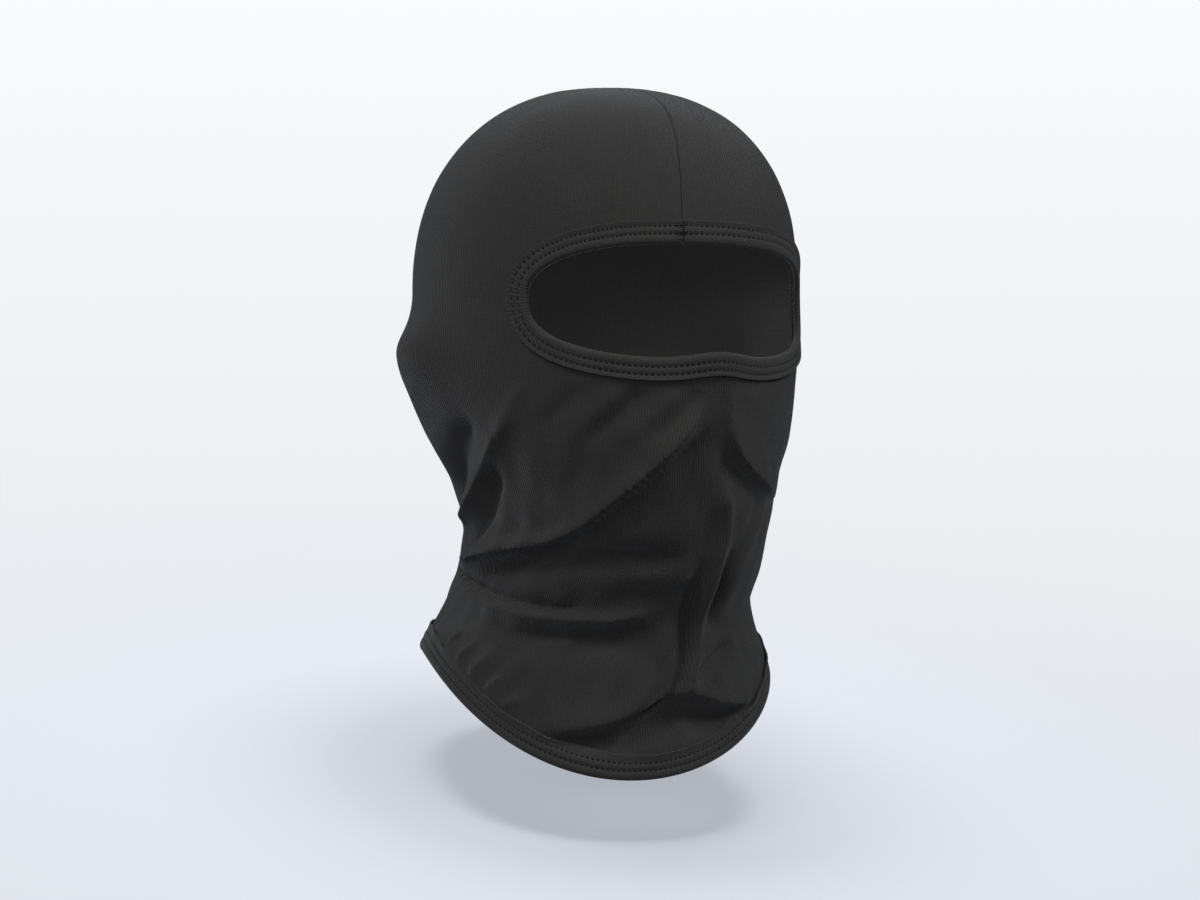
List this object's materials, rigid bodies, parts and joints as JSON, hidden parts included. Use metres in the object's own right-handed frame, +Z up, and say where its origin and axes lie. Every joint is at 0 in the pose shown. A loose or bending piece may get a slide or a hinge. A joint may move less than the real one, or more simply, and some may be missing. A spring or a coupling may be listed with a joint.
{
  "type": "balaclava",
  "caption": "Full-head stretch-knit balaclava in its worn shape, with one wide eye opening, bound edges, a crown and back seam and a hem that hangs lower in front.",
  "frame": {"origin": "the point inside the crown where the top of the wearer's head touches the fabric, on the plane that divides left from right", "axes": "+Z up the wearer's head, -Y the way the face looks, +X towards the wearer's left"},
  "size_m": [0.1746, 0.2024, 0.295],
  "materials": {
    "jersey": "fine black polyester and elastane jersey, matt with a faint sheen at grazing angles",
    "binding_jersey": "the same black jersey cut as a folded strip, a little glossier where it is stretched",
    "thread": "black texturised polyester sewing thread, slightly satin"
  },
  "bodies": {
    "root": {"body_panel": "jersey", "crown_and_back_seam_needle_thread": "thread", "crown_and_back_seam_looper_thread": "thread", "eye_binding": "binding_jersey", "eye_inner_needle_thread": "thread", "eye_outer_needle_thread": "thread", "eye_looper_thread": "thread", "eye_joint_tack": "thread", "hem_binding": "binding_jersey", "hem_inner_needle_thread": "thread", "hem_outer_needle_thread": "thread", "hem_looper_thread": "thread", "hem_joint_tack": "thread"}
  },
  "joints": []
}
